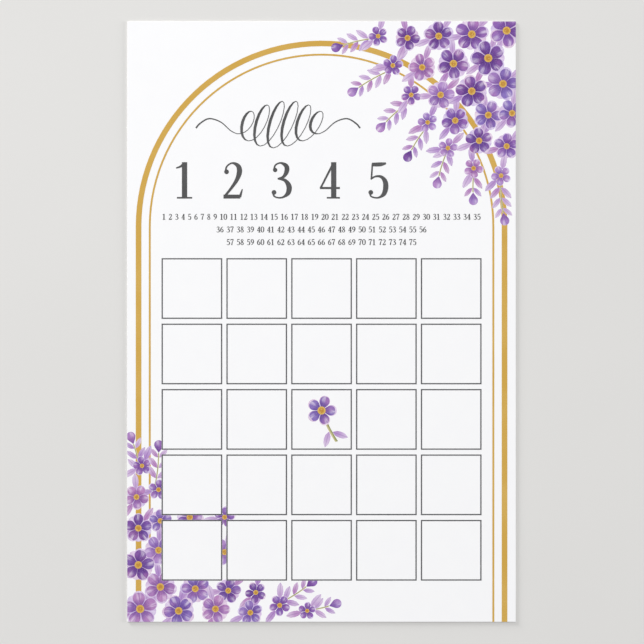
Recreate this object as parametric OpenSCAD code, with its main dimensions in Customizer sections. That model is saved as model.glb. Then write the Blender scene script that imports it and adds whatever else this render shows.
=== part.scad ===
// A printed bingo card: one sheet of card stock, with each printed element a thin ink film on its face.
// X runs across the card, Y towards its head and Z out of the printed face.
// The origin is the centre of the back face.

/* [Card] */
// Width of the sheet, half-letter trim
card_w = 139.7; // [120:0.1:170]
// Length of the sheet, head to foot
card_l = 215.9; // [200:0.1:260]
// Thickness of the card stock
card_t = 0.4; // [0.2:0.05:1]
// Thickness of a printed ink film
ink_t = 0.02; // [0.01:0.005:0.06]
// Bare paper left where one ink is knocked out round another
print_gap = 0.05; // [0.02:0.01:0.2]

/* [Arch] */
// Side edge of the card to the middle of the outer band
arch_side_margin = 4.05; // [2:0.05:8]
// Head of the card to the middle of the outer band at its crown
arch_head_margin = 7.9; // [4:0.1:14]
// Width of the outer band
outer_band_w = 2; // [0.8:0.1:3]
// Width of the inner line
inner_line_w = 0.68; // [0.2:0.02:1.2]
// Middle of the outer band to the middle of the inner line
arch_step = 4.03; // [2.5:0.01:6]

/* [Grid] */
// Side edge of the card to the outer squares
grid_side_margin = 12.55; // [9:0.05:20]
// Head of the card to the first row of squares
grid_head_margin = 85.35; // [84:0.05:95]
// Foot of the card to the last row of squares
grid_foot_margin = 15.05; // [8:0.05:25]
// Gap between two columns of squares
col_gap = 1.95; // [1:0.05:4]
// Gap between two rows of squares
row_gap = 2.15; // [1:0.05:4]
// Width of a square's outline
square_line_w = 0.44; // [0.2:0.02:0.8]

/* [Heading] */
// Height of the large numerals
numeral_h = 13.1; // [9:0.1:15]
// Distance from one large numeral to the next
numeral_pitch = 17.4; // [14:0.1:19]
// Left edge of the grid to the middle of the first large numeral
numeral_x = 7.9; // [6:0.1:11]
// Head of the card to the foot of the large numerals
numeral_foot_y = 63.7; // [58:0.1:66]
// Length of the pen flourish between its tails' tips
flourish_l = 59; // [50:1:60]
// Height of its tallest loop
flourish_h = 17; // [10:0.5:19]
// Left edge of the grid to the middle of the flourish
flourish_x = 42.8; // [41:0.1:45]
// Head of the card to the middle of the flourish's coil
flourish_y = 37; // [34:0.5:40]
// Height of the small tally numbers
tally_h = 2.1; // [1.2:0.05:2.4]
// Head of the card to the foot of the first tally row
tally_foot_y = 71.3; // [69:0.1:73]
// Distance from one tally row to the next
tally_pitch = 4.55; // [3.5:0.05:5]

/* [Sprays] */
// Reach of a flower spray from its corner of the card
spray_reach = 66; // [55:1:72]
// Radius of the largest blossom
blossom_r = 6.5; // [5:0.1:9]
// Radius of the gold centre of the largest blossom
blossom_eye_r = 1.5; // [1:0.1:2.5]
// Length of a sprig's leaf
leaf_l = 5.8; // [4:0.1:8]
// Width of a sprig's leaf
leaf_w = 2.2; // [1.5:0.1:3]
// Distance along a sprig from one pair of leaves to the next
leaf_pitch = 3.7; // [3:0.1:5]
// Length of the bud at a sprig's tip
bud_l = 4.6; // [3:0.1:6]
// Width of a stem
stem_w = 0.45; // [0.25:0.05:0.8]

/* [Free space] */
// Radius of the blossom in the middle square
free_blossom_r = 5.5; // [4:0.1:6.5]
// Length of its stem
free_stem_l = 12.3; // [10:0.1:13]
// Width of its stem
free_stem_w = 1; // [0.4:0.1:1.4]
// Lift of the blossom above the middle of its square
free_blossom_lift = 3.2; // [1:0.1:3.6]

/* [Hidden] */
$fn = 96;

// Grid of five by five squares, worked out from the margins
grid_n = 5;
grid_w = card_w - 2 * grid_side_margin;
cell_w = (grid_w - (grid_n - 1) * col_gap) / grid_n;
cell_l = (card_l - grid_head_margin - grid_foot_margin - (grid_n - 1) * row_gap) / grid_n;
grid_top_y = card_l / 2 - grid_head_margin;
mid_square = (grid_n + 1) / 2;

// Arch, worked out from the margins
outer_arch_r = card_w / 2 - arch_side_margin;
inner_arch_r = outer_arch_r - arch_step;
arch_spring_y = card_l / 2 - arch_head_margin - outer_arch_r;

// Large numerals and tally figures, whose pen lines are bolder for their height
numeral_count = 5;
numeral_w_share = 0.58;
numeral_bold_share = 0;
tally_digit_share = 0.64;
tally_bold_share = 0.04;
tally_counts = [35, 21, 19];
numeral_steps = 5;
tally_steps = 1;

// Pen flourish: a coil of leaning loops between two tails, in shares of its length and height
loop_count = 6;
coil_share = 0.5;
loop_lean_share = 0.34;
loop_swing_share = 0.62;
coil_end_share = 0.4;
pen_thin_share = 0.017;
pen_thick_share = 0.062;
loop_steps = 9;
tail_knot_shares = [[1, -0.08], [0.9, 0.02], [0.68, 0.12], [0.4, 0.05], [0.16, -0.13], [0, -0.2]];

// Blossoms: [across, along] from the corner as shares of the spray's reach, size as a share of the largest,
// and turn. Each one is printed over those before it.
petal_n = 5;
petal_round_share = 0.55;
petal_waist_share = 0.94;
blossom_leaf_share = 0.62;
upper_blossom_shares = [
    [0.75, 0.08, 0.56, 40], [0.67, 0.24, 0.58, 12], [0.57, 0.40, 0.58, 55], [0.48, 0.55, 0.56, 30],
    [0.37, 0.69, 0.56, 8], [0.23, 0.80, 0.56, 62], [0.08, 0.84, 0.56, 44], [0.59, 0.09, 0.72, 66],
    [0.51, 0.25, 0.78, 35], [0.41, 0.40, 0.80, 5], [0.33, 0.54, 0.78, 50], [0.20, 0.65, 0.78, 22],
    [0.05, 0.68, 0.74, 15], [0.42, 0.08, 0.85, 22], [0.34, 0.23, 0.92, 58], [0.24, 0.38, 0.92, 28],
    [0.15, 0.51, 0.84, 68], [0.02, 0.50, 0.80, 47], [0.24, 0.07, 0.95, 10], [0.07, 0.34, 0.94, 3],
    [0.15, 0.20, 1.00, 36], [0.05, 0.05, 0.98, 64]
];
lower_blossom_shares = [
    [0.98, 0.06, 0.50, 14], [0.83, 0.09, 0.60, 52], [0.08, 0.85, 0.54, 30], [0.17, 0.72, 0.58, 12],
    [0.53, 0.57, 0.60, 10], [0.53, 0.38, 0.74, 38], [0.34, 0.57, 0.78, 66], [0.18, 0.55, 0.66, 20],
    [0.70, 0.16, 0.60, 44], [0.67, 0.05, 0.70, 26], [0.05, 0.68, 0.70, 58], [0.55, 0.17, 0.72, 6],
    [0.37, 0.18, 0.84, 33], [0.17, 0.39, 0.84, 50], [0.48, 0.07, 0.82, 70], [0.06, 0.51, 0.82, 18],
    [0.28, 0.06, 0.92, 42], [0.06, 0.31, 0.92, 8], [0.18, 0.19, 0.92, 62], [0.07, 0.07, 1.00, 24]
];
// Sprigs: [across, along] from the corner as shares of the spray's reach, direction, length as a share of it
upper_sprig_shares = [
    [0.74, 0.09, 183, 0.20], [0.64, 0.25, 199, 0.24], [0.55, 0.42, 211, 0.20], [0.47, 0.56, 227, 0.17],
    [0.36, 0.68, 242, 0.17], [0.22, 0.78, 257, 0.15], [0.08, 0.82, 265, 0.22]
];
lower_sprig_shares = [
    [0.07, 0.80, 94, 0.17], [0.95, 0.06, 2, 0.15], [0.80, 0.09, 22, 0.20], [0.14, 0.70, 74, 0.22]
];
sprig_bend_share = 0.14;
sprig_steps = 8;
leaf_spread = 42;
leaf_tip_share = 0.72;
free_blossom_turn = 0;
free_stem_heading = 288;
free_leaf_shares = [0.6, 0.66];

upper_side = 1;
lower_side = -1;

function square_name(row, col) = str("square_row", row, "_col", col);

function flip(v) = [-v[1], v[0]];
function unit(v) = v / norm(v);
function aim(a) = [cos(a), sin(a)];

// Figures 0 to 9: each is a list of pen strokes, and each stroke a list of knots,
// [across, up, pen width] in shares of the figure's height
digit_stroke_shares = [
    [[[0.32, 0.978, 0.045], [0.15, 0.9, 0.09], [0.08, 0.7, 0.14], [0.08, 0.3, 0.14], [0.15, 0.1, 0.09],
      [0.32, 0.022, 0.045]],
     [[0.28, 0.978, 0.045], [0.45, 0.9, 0.09], [0.52, 0.7, 0.14], [0.52, 0.3, 0.14], [0.45, 0.1, 0.09],
      [0.28, 0.022, 0.045]]],
    [[[0.3, 1, 0.145], [0.3, 0, 0.145]],
     [[0.29, 0.96, 0.08], [0.19, 0.88, 0.06], [0.07, 0.84, 0.035]],
     [[0.09, 0.022, 0.045], [0.51, 0.022, 0.045]]],
    [[[0.1, 0.72, 0.05], [0.13, 0.88, 0.045], [0.28, 0.975, 0.05], [0.44, 0.9, 0.12], [0.48, 0.74, 0.145],
      [0.41, 0.52, 0.11], [0.25, 0.28, 0.075], [0.07, 0.06, 0.06]],
     [[0.04, 0.055, 0.11], [0.5, 0.055, 0.11]],
     [[0.49, 0.04, 0.08], [0.56, 0.26, 0.03]]],
    [[[0.1, 0.8, 0.05], [0.14, 0.92, 0.045], [0.28, 0.978, 0.05], [0.43, 0.9, 0.12], [0.45, 0.76, 0.13],
      [0.36, 0.6, 0.08], [0.2, 0.545, 0.04]],
     [[0.2, 0.545, 0.04], [0.4, 0.5, 0.09], [0.51, 0.34, 0.145], [0.49, 0.16, 0.13], [0.37, 0.05, 0.06],
      [0.24, 0.022, 0.045], [0.11, 0.06, 0.045], [0.07, 0.16, 0.05]]],
    [[[0.4, 0.97, 0.06], [0.05, 0.29, 0.05]],
     [[0.03, 0.29, 0.06], [0.58, 0.29, 0.06]],
     [[0.41, 1, 0.145], [0.41, 0, 0.145]],
     [[0.22, 0.022, 0.045], [0.58, 0.022, 0.045]]],
    [[[0.13, 0.935, 0.1], [0.36, 0.94, 0.11], [0.52, 0.97, 0.05]],
     [[0.145, 0.96, 0.045], [0.115, 0.53, 0.045]],
     [[0.1, 0.53, 0.045], [0.22, 0.605, 0.05], [0.38, 0.6, 0.08], [0.49, 0.48, 0.13], [0.51, 0.3, 0.145],
      [0.46, 0.13, 0.12], [0.35, 0.04, 0.06], [0.24, 0.022, 0.045], [0.11, 0.06, 0.045], [0.07, 0.16, 0.05]]],
    [[[0.48, 0.965, 0.04], [0.29, 0.86, 0.07], [0.13, 0.62, 0.13], [0.09, 0.36, 0.145], [0.15, 0.12, 0.1],
      [0.32, 0.022, 0.045]],
     [[0.28, 0.022, 0.045], [0.45, 0.11, 0.11], [0.51, 0.29, 0.14], [0.46, 0.48, 0.1], [0.33, 0.565, 0.045],
      [0.2, 0.53, 0.04], [0.1, 0.42, 0.04]]],
    [[[0.05, 0.94, 0.11], [0.56, 0.94, 0.11]],
     [[0.08, 0.95, 0.05], [0.05, 0.76, 0.03]],
     [[0.54, 0.93, 0.05], [0.42, 0.7, 0.07], [0.3, 0.36, 0.12], [0.26, 0, 0.145]]],
    [[[0.46, 0.8, 0.08], [0.42, 0.93, 0.06], [0.29, 0.978, 0.045], [0.16, 0.9, 0.09], [0.13, 0.76, 0.12],
      [0.25, 0.59, 0.11], [0.42, 0.42, 0.12], [0.5, 0.25, 0.13], [0.44, 0.09, 0.08], [0.28, 0.022, 0.045]],
     [[0.32, 0.022, 0.045], [0.14, 0.08, 0.08], [0.08, 0.24, 0.11], [0.16, 0.42, 0.07], [0.3, 0.53, 0.045],
      [0.43, 0.67, 0.06], [0.46, 0.82, 0.08]]],
    [[[0.12, 0.035, 0.04], [0.31, 0.14, 0.07], [0.47, 0.38, 0.13], [0.51, 0.64, 0.145], [0.45, 0.88, 0.1],
      [0.28, 0.978, 0.045]],
     [[0.32, 0.978, 0.045], [0.15, 0.89, 0.11], [0.09, 0.71, 0.14], [0.14, 0.52, 0.1], [0.27, 0.435, 0.045],
      [0.4, 0.47, 0.04], [0.5, 0.58, 0.04]]]
];
// Round ends of the large numerals' hairlines: [across, up, radius] for each figure that has them
digit_ball_shares = [
    [], [], [[0.125, 0.735, 0.065]], [[0.13, 0.785, 0.06], [0.1, 0.17, 0.065]], [], [[0.1, 0.17, 0.065]]
];

// Smooth curve through the knots, with the pen width carried along
function knot(k, i) = k[max(0, min(len(k) - 1, i))];
function between(k, i, t) =
    let (a = knot(k, i - 1), b = knot(k, i), c = knot(k, i + 1), d = knot(k, i + 2))
    (2 * b + (c - a) * t + (2 * a - 5 * b + 4 * c - d) * t * t + (3 * b - a - 3 * c + d) * t * t * t) / 2;
function curve(k, steps) =
    concat([for (i = [0:len(k) - 2], s = [0:steps - 1]) between(k, i, s / steps)], [k[len(k) - 1]]);
function place(v) = [v[0], v[1]];
function run(p, i) = unit(place(p[min(i + 1, len(p) - 1)]) - place(p[max(i - 1, 0)]));
function bank(p, side) = [for (i = [0:len(p) - 1]) place(p[i]) + side * p[i][2] / 2 * flip(run(p, i))];
function reverse(p) = [for (i = [len(p) - 1:-1:0]) p[i]];

// Outline of a pen line through points of [x, y, pen width]
module pen(points) polygon(concat(bank(points, 1), reverse(bank(points, -1))));

module figure(value, h, bold_share, steps) {
    for (stroke = digit_stroke_shares[value])
        pen(curve([for (k = stroke) h * (k + [0, 0, bold_share])], len(stroke) > 2 ? steps : 1));
}

// Every printed element is a film on the card's face
module film() translate([0, 0, card_t]) linear_extrude(ink_t) children();

module card_area() square([card_w, card_l], center = true);

function cell_place(row, col) = [
    (col - mid_square) * (cell_w + col_gap),
    grid_top_y - cell_l / 2 - (row - 1) * (cell_l + row_gap)
];

module cells_area(grow) {
    for (row = [1:grid_n], col = [1:grid_n])
        translate(cell_place(row, col))
            square([cell_w + square_line_w + 2 * grow, cell_l + square_line_w + 2 * grow], center = true);
}

// Half ring on two straight legs that run down to the foot of the card
module arch_line(r, w) {
    translate([0, arch_spring_y]) intersection() {
        difference() {
            circle(r + w / 2);
            circle(r - w / 2);
        }
        translate([-r - w, 0]) square([2 * (r + w), r + w]);
    }
    for (side = [-1, 1])
        translate([side * r - w / 2, -card_l / 2]) square([w, arch_spring_y + card_l / 2]);
}

// Teardrop petal pointing along X, its tip at the origin. Its straight flanks run into the round end.
module petal(r, grow) {
    bulb_x = r / (1 + petal_round_share);
    bulb_r = petal_round_share * bulb_x;
    lean = asin(petal_round_share * petal_waist_share);
    tip_x = -grow / sin(lean);
    flank_l = (bulb_x - tip_x) * cos(lean);
    translate([bulb_x, 0]) circle(bulb_r + grow);
    polygon([for (side = [1, 0, -1]) [tip_x, 0] + abs(side) * flank_l * aim(side * lean)]);
}

// Almond leaf pointing along X, its tip at the origin
module leaf(l, w, grow) {
    arc_r = (l * l + w * w) / (4 * w);
    intersection() {
        translate([l / 2, arc_r - w / 2]) circle(arc_r + grow);
        translate([l / 2, w / 2 - arc_r]) circle(arc_r + grow);
    }
}

module petal_ring(r, grow) {
    for (i = [0:petal_n - 1]) rotate(360 / petal_n * i) petal(r, grow);
}

function spray_blossoms(side) = side == upper_side ? upper_blossom_shares : lower_blossom_shares;
function spray_sprigs(side) = side == upper_side ? upper_sprig_shares : lower_sprig_shares;
function spray_place(side, row) = side * ([card_w, card_l] / 2 - spray_reach * place(row));

module blossom_petals(side, row, grow) {
    translate(spray_place(side, row)) rotate(row[3]) petal_ring(blossom_r * row[2], grow);
}

module blossom_eye(side, row, grow) {
    translate(spray_place(side, row)) circle(blossom_eye_r * row[2] + grow);
}

// The later blossoms of a spray that reach over blossom i
module blossoms_over(side, i) {
    rows = spray_blossoms(side);
    for (j = [i + 1:1:len(rows) - 1])
        if (spray_reach * norm(place(rows[i]) - place(rows[j])) < blossom_r * (rows[i][2] + rows[j][2])) {
            blossom_petals(side, rows[j], print_gap);
            blossom_eye(side, rows[j], print_gap);
        }
}

module spray_blossoms_area(side, grow) {
    for (row = spray_blossoms(side)) {
        blossom_petals(side, row, grow);
        blossom_eye(side, row, grow);
    }
}

// A sprig's stem bends evenly to one side, and its leaves and bud follow that curve
function sprig_place(side, row, t) = spray_place(side, row)
    + row[3] * spray_reach * (t * aim(row[2]) + sprig_bend_share * t * t * flip(aim(row[2])));
function sprig_heading(row, t) = row[2] + atan(2 * sprig_bend_share * t);
function leaf_pairs(row) = floor(row[3] * spray_reach / leaf_pitch);
function leaf_station(row, i) = 1 - (i + 1 / 2) * leaf_pitch / (row[3] * spray_reach);

module spray_leaves(side, grow) {
    offset_l = (stem_w / 2 + print_gap) / sin(leaf_spread);
    for (row = spray_sprigs(side), i = [0:leaf_pairs(row) - 1], turn = [-1, 1]) {
        t = leaf_station(row, i);
        size = leaf_tip_share + (1 - leaf_tip_share) * i / leaf_pairs(row);
        translate(sprig_place(side, row, t)) rotate(sprig_heading(row, t) + turn * leaf_spread)
            translate([offset_l, 0]) leaf(leaf_l * size, leaf_w * size, grow);
    }
    for (row = spray_blossoms(side), i = [0, 2])
        translate(spray_place(side, row)) rotate(row[3] + 360 / petal_n * (i + 1 / 2))
            translate([blossom_r * row[2] * blossom_leaf_share, 0]) leaf(leaf_l, leaf_w, grow);
}

module spray_buds(side, grow) {
    for (row = spray_sprigs(side))
        translate(sprig_place(side, row, 1)) rotate(sprig_heading(row, 1)) petal(bud_l, grow);
}

module spray_stems(side, grow) {
    for (row = spray_sprigs(side))
        pen([for (i = [0:sprig_steps]) concat(sprig_place(side, row, i / sprig_steps), stem_w + 2 * grow)]);
}

// Everything printed over the arch and the stems
module spray_flowers(side, grow) {
    spray_blossoms_area(side, grow);
    spray_buds(side, grow);
    spray_leaves(side, grow);
}

// The boxes that the large numerals, the flourish and the tally rows stand in
numeral_w = numeral_w_share * numeral_h;
numeral_left = numeral_x - grid_w / 2 - numeral_w / 2;
numeral_row_w = (numeral_count - 1) * numeral_pitch + numeral_w;
flourish_place = [flourish_x - grid_w / 2, card_l / 2 - flourish_y];
module heading_area(grow) {
    translate([numeral_left - grow, card_l / 2 - numeral_foot_y - grow])
        square([numeral_row_w + 2 * grow, numeral_h + 2 * grow]);
    translate(flourish_place) square([flourish_l + 2 * grow, flourish_h + 2 * grow], center = true);
    for (row = [0:len(tally_counts) - 1])
        translate(tally_place(row) - [grow, grow]) square([tally_row_w(row) + 2 * grow, tally_h + 2 * grow]);
}

// Keeps a spray's ink on the card and clear of the squares and the heading
module spray_film() {
    film() difference() {
        intersection() {
            children();
            card_area();
        }
        cells_area(print_gap);
        heading_area(print_gap);
    }
}

module card_sheet() color([0.98, 0.98, 0.98]) linear_extrude(card_t) card_area();

module arch_ink(r, w) {
    color([0.82, 0.66, 0.35]) film() difference() {
        arch_line(r, w);
        for (side = [upper_side, lower_side]) {
            spray_flowers(side, print_gap);
            spray_stems(side, print_gap);
        }
    }
}

module outer_arch() arch_ink(outer_arch_r, outer_band_w);

module inner_arch() arch_ink(inner_arch_r, inner_line_w);

module square_outline(row, col) {
    color([0.33, 0.33, 0.34]) film() translate(cell_place(row, col)) difference() {
        square([cell_w + square_line_w, cell_l + square_line_w], center = true);
        square([cell_w - square_line_w, cell_l - square_line_w], center = true);
    }
}

module numeral(value) {
    x = numeral_left + (value - 1) * numeral_pitch;
    color([0.32, 0.32, 0.32]) translate([x, card_l / 2 - numeral_foot_y, 0]) {
        film() figure(value, numeral_h, numeral_bold_share, numeral_steps);
        for (ball = digit_ball_shares[value])
            film() translate(place(ball) * numeral_h) circle(ball[2] * numeral_h);
    }
}

// Coil that swells in its middle: up strokes are thin, down strokes thick, and each half loop is one pen line
coil_l = flourish_l * coil_share;
loop_pitch = coil_l / loop_count;
tail_l = (flourish_l - coil_l) / 2;
pen_thin = flourish_h * pen_thin_share;
pen_thick = flourish_h * pen_thick_share;
function coil_height(turn) =
    flourish_h / 2 * (coil_end_share + (1 - coil_end_share) * sin(180 * turn / loop_count));
function coil_point(turn) =
    let (a = 360 * turn, up = -coil_height(turn) * cos(a))
    [
        loop_pitch * (turn - loop_count / 2 + loop_swing_share * sin(a)) + loop_lean_share * up,
        up,
        pen_thin + (pen_thick - pen_thin) * max(0, -sin(a))
    ];

// One tail leaves the foot of the first loop, and its mirror image the foot of the last
function tail_knots(side) = let (foot = coil_point(side < 0 ? 0 : loop_count)) [for (row = tail_knot_shares) [
    foot[0] + side * tail_l * row[0],
    foot[1] + flourish_h * (row[1] - tail_knot_shares[len(tail_knot_shares) - 1][1]),
    pen_thin * (1 + row[0])
]];

module heading_flourish() {
    color([0.32, 0.32, 0.32]) film() translate(flourish_place) {
        for (half = [0:2 * loop_count - 1])
            pen([for (i = [0:loop_steps]) coil_point((half + i / loop_steps) / 2)]);
        for (side = [-1, 1]) pen(curve(tail_knots(side), loop_steps));
    }
}

// Tally rows: the numbers in order, set so that the first row is as wide as the grid
function digits_before(first, value) =
    value <= first ? 0 : len(str(value - 1)) + digits_before(first, value - 1);
function tally_first(row) = row == 0 ? 1 : tally_first(row - 1) + tally_counts[row - 1];
function row_digits(row) = digits_before(tally_first(row), tally_first(row + 1));
tally_advance = tally_h * tally_digit_share;
tally_gap = (grid_w - row_digits(0) * tally_advance) / (tally_counts[0] - 1);
function tally_row_w(row) = row_digits(row) * tally_advance + (tally_counts[row] - 1) * tally_gap;
function tally_place(row) = [-tally_row_w(row) / 2, card_l / 2 - tally_foot_y - row * tally_pitch];

module tally_figure(value) figure(value, tally_h, tally_bold_share, tally_steps);

module tally_row(row) {
    first = tally_first(row);
    color([0.32, 0.32, 0.32]) film() translate(tally_place(row))
        for (value = [first:first + tally_counts[row] - 1]) {
            x = digits_before(first, value) * tally_advance + (value - first) * tally_gap;
            tens = floor(value / 10);
            if (tens > 0) translate([x, 0]) tally_figure(tens);
            translate([x + (tens > 0 ? tally_advance : 0), 0]) tally_figure(value % 10);
        }
}

module petals_ink(side) {
    rows = spray_blossoms(side);
    color([0.48, 0.33, 0.64]) spray_film()
        for (i = [0:len(rows) - 1]) difference() {
            blossom_petals(side, rows[i], 0);
            blossom_eye(side, rows[i], print_gap);
            blossoms_over(side, i);
        }
}

module eyes_ink(side) {
    rows = spray_blossoms(side);
    color([0.85, 0.68, 0.32]) spray_film()
        for (i = [0:len(rows) - 1]) difference() {
            blossom_eye(side, rows[i], 0);
            blossoms_over(side, i);
        }
}

module buds_ink(side) {
    color([0.42, 0.28, 0.58]) spray_film() difference() {
        spray_buds(side, 0);
        spray_blossoms_area(side, print_gap);
    }
}

module leaves_ink(side) {
    color([0.72, 0.6, 0.8]) spray_film() difference() {
        spray_leaves(side, 0);
        spray_blossoms_area(side, print_gap);
        spray_buds(side, print_gap);
    }
}

module stems_ink(side) {
    color([0.7, 0.62, 0.33]) spray_film() difference() {
        spray_stems(side, 0);
        spray_flowers(side, print_gap);
    }
}

// One blossom on its stem, printed inside the outline of the middle square
free_square_place = cell_place(mid_square, mid_square);
free_place = free_square_place + [0, free_blossom_lift];
function free_stem_place(t) = free_place
    + free_stem_l * (t * aim(free_stem_heading) + sprig_bend_share * t * t * flip(aim(free_stem_heading)));
function free_heading(t) = free_stem_heading + atan(2 * sprig_bend_share * t);

module free_blossom(grow) translate(free_place) rotate(free_blossom_turn) petal_ring(free_blossom_r, grow);

module free_leaf_pair(grow) {
    offset_l = (free_stem_w / 2 + print_gap) / sin(leaf_spread);
    for (i = [0, 1])
        translate(free_stem_place(free_leaf_shares[i]))
            rotate(free_heading(free_leaf_shares[i]) + (2 * i - 1) * leaf_spread)
                translate([offset_l, 0]) leaf(leaf_l, leaf_w, grow);
}

module free_film() {
    inset = square_line_w + 2 * print_gap;
    film() intersection() {
        children();
        translate(free_square_place) square([cell_w - inset, cell_l - inset], center = true);
    }
}

module free_petals() {
    color([0.48, 0.33, 0.64]) free_film() difference() {
        free_blossom(0);
        translate(free_place) circle(blossom_eye_r + print_gap);
    }
}

module free_eye() color([0.85, 0.68, 0.32]) free_film() translate(free_place) circle(blossom_eye_r);

module free_leaves() {
    color([0.72, 0.6, 0.8]) free_film() difference() {
        free_leaf_pair(0);
        free_blossom(print_gap);
    }
}

module free_stem() {
    color([0.7, 0.62, 0.33]) free_film() difference() {
        pen([for (i = [0:sprig_steps]) concat(free_stem_place(i / sprig_steps), free_stem_w)]);
        free_blossom(print_gap);
        translate(free_place) circle(blossom_eye_r + print_gap);
        free_leaf_pair(print_gap);
    }
}

card_sheet();
outer_arch();
inner_arch();
for (row = [1:grid_n], col = [1:grid_n])
    square_outline(row, col);
for (value = [1:numeral_count])
    numeral(value);
heading_flourish();
for (row = [0:len(tally_counts) - 1])
    tally_row(row);
petals_ink(upper_side);  // upper_petals
eyes_ink(upper_side);  // upper_eyes
leaves_ink(upper_side);  // upper_leaves
buds_ink(upper_side);  // upper_buds
stems_ink(upper_side);  // upper_stems
petals_ink(lower_side);  // lower_petals
eyes_ink(lower_side);  // lower_eyes
leaves_ink(lower_side);  // lower_leaves
buds_ink(lower_side);  // lower_buds
stems_ink(lower_side);  // lower_stems
free_petals();
free_eye();
free_leaves();
free_stem();
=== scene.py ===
# %% [markdown]
# # A printed bingo card
# The object is one sheet of card stock with everything else printed on it: a double gold arch, a heading,
# five rows of five squares and two sprays of painted flowers. The CAD model holds every film of ink in its
# true place, so this script first loads it as a fixed frame and then dresses it.

# %% Load the fixed frame
import math
import random

import bpy
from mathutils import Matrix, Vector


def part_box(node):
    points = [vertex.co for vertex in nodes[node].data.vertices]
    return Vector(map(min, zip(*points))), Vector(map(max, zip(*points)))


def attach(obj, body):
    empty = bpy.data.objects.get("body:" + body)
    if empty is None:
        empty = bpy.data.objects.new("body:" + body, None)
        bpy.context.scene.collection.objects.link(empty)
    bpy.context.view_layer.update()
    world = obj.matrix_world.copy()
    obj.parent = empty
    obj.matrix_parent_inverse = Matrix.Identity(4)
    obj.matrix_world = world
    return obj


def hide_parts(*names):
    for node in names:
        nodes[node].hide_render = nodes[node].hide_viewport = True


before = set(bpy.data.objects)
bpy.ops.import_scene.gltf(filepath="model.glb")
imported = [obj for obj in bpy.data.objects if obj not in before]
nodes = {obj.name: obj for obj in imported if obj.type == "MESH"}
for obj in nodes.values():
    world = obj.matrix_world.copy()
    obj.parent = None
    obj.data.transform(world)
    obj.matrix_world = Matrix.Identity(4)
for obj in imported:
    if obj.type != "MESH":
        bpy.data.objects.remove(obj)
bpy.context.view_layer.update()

# %% [markdown]
# ## Units
# A film of ink is two hundredths of a millimetre thick. In metres that is so little that some of Blender's
# mesh tools take its two sides for one. So each new piece is modelled in millimetres, a thousand times too
# large, and brought to metres as its last step. The sheet's own sizes are read from the frame, and the
# flowers follow them.

# %% Sizes from the frame
MM = 0.001


def box_mm(node):
    low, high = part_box(node)
    return low / MM, high / MM


sheet_low, sheet_high = box_mm("card_sheet")
card_w = sheet_high.x - sheet_low.x
card_l = sheet_high.y - sheet_low.y
paper_z = sheet_high.z
ink_z = box_mm("outer_arch")[1].z
print(f"sheet {card_w:.1f} x {card_l:.1f} mm, paper at {paper_z:.2f} mm, ink up to {ink_z:.3f} mm")

# %% [markdown]
# ## Camera
# The card lies flat and is seen from straight above. A long lens from 0.9 m sees all of it at nearly the
# same angle, and is set so that one pixel of the square picture covers 0.36 mm of the card.

# %% Camera above the card
frame_px = 644
mm_per_px = 0.3596
card_centre_px = (321.55, 321.63)
camera_height = 0.9
sensor_width = 36

camera_data = bpy.data.cameras.new("camera")
camera_data.sensor_width = sensor_width
camera_data.lens = sensor_width * (camera_height - paper_z * MM) / (frame_px * mm_per_px * MM)
camera = bpy.data.objects.new("camera", camera_data)
bpy.context.scene.collection.objects.link(camera)
camera.location.x = (frame_px / 2 - card_centre_px[0]) * mm_per_px * MM
camera.location.y = (card_centre_px[1] - frame_px / 2) * mm_per_px * MM
camera.location.z = camera_height
bpy.context.scene.camera = camera
print(f"lens {camera_data.lens:.1f} mm")

# %% [markdown]
# ## Helpers for modelling
# An operator acts on whatever is selected, and the loaded frame starts out selected. So every piece begins
# with nothing selected, and points are picked in code by their place, as one would box-select them by hand.

# %% Modelling helpers
def start_piece():
    bpy.ops.object.select_all(action="DESELECT")


def pick_points(piece, wanted):
    """Selects the points whose place is wanted, and stays in edit mode."""
    bpy.ops.object.mode_set(mode="EDIT")
    bpy.ops.mesh.select_mode(type="VERT")
    bpy.ops.mesh.select_all(action="DESELECT")
    bpy.ops.object.mode_set(mode="OBJECT")
    for point in piece.data.vertices:
        point.select = wanted(point.co)
    bpy.ops.object.mode_set(mode="EDIT")


def pull_points(move, reach):
    """Moves the picked points, and those within reach of them by less and less."""
    bpy.ops.transform.translate(
        value=(*move, 0),
        use_proportional_edit=True,
        proportional_edit_falloff="SMOOTH",
        proportional_size=reach,
    )


def make_solid(piece, height):
    """Gives a flat sheet its thickness, with one plain face underneath."""
    bpy.ops.object.mode_set(mode="EDIT")
    bpy.ops.mesh.select_all(action="SELECT")
    bpy.ops.mesh.extrude_region_move(TRANSFORM_OT_translate={"value": (0, 0, height)})
    pick_points(piece, lambda co: co.z < height / 2)
    bpy.ops.mesh.dissolve_faces()
    bpy.ops.mesh.select_all(action="SELECT")
    bpy.ops.mesh.normals_make_consistent(inside=False)
    bpy.ops.object.mode_set(mode="OBJECT")


# %% [markdown]
# ## Helpers for finished pieces
# What repeats is modelled once and copied, each copy with a mesh of its own. A finished piece sits at the
# origin, unturned and unscaled, so its place is written into its mesh. Real ink is far too thin to throw a
# shadow, and these marks are thicker than real ink, so of the new pieces only the sheet throws one.

# %% Copying, joining and finishing
def copy_piece(template, name, place=(0, 0, 0), turn=0, size=(1, 1, 1)):
    piece = template.copy()
    piece.data = template.data.copy()
    piece.name = name
    piece.location = place
    piece.rotation_euler = (0, 0, math.radians(turn))
    piece.scale = size
    bpy.context.scene.collection.objects.link(piece)
    return piece


def select_only(pieces):
    bpy.ops.object.select_all(action="DESELECT")
    for piece in pieces:
        piece.select_set(True)
    bpy.context.view_layer.objects.active = pieces[0]


def settle(pieces):
    """Writes each piece's place, turn and size into its mesh."""
    select_only(pieces)
    bpy.ops.object.transform_apply(location=True, rotation=True, scale=True)


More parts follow.
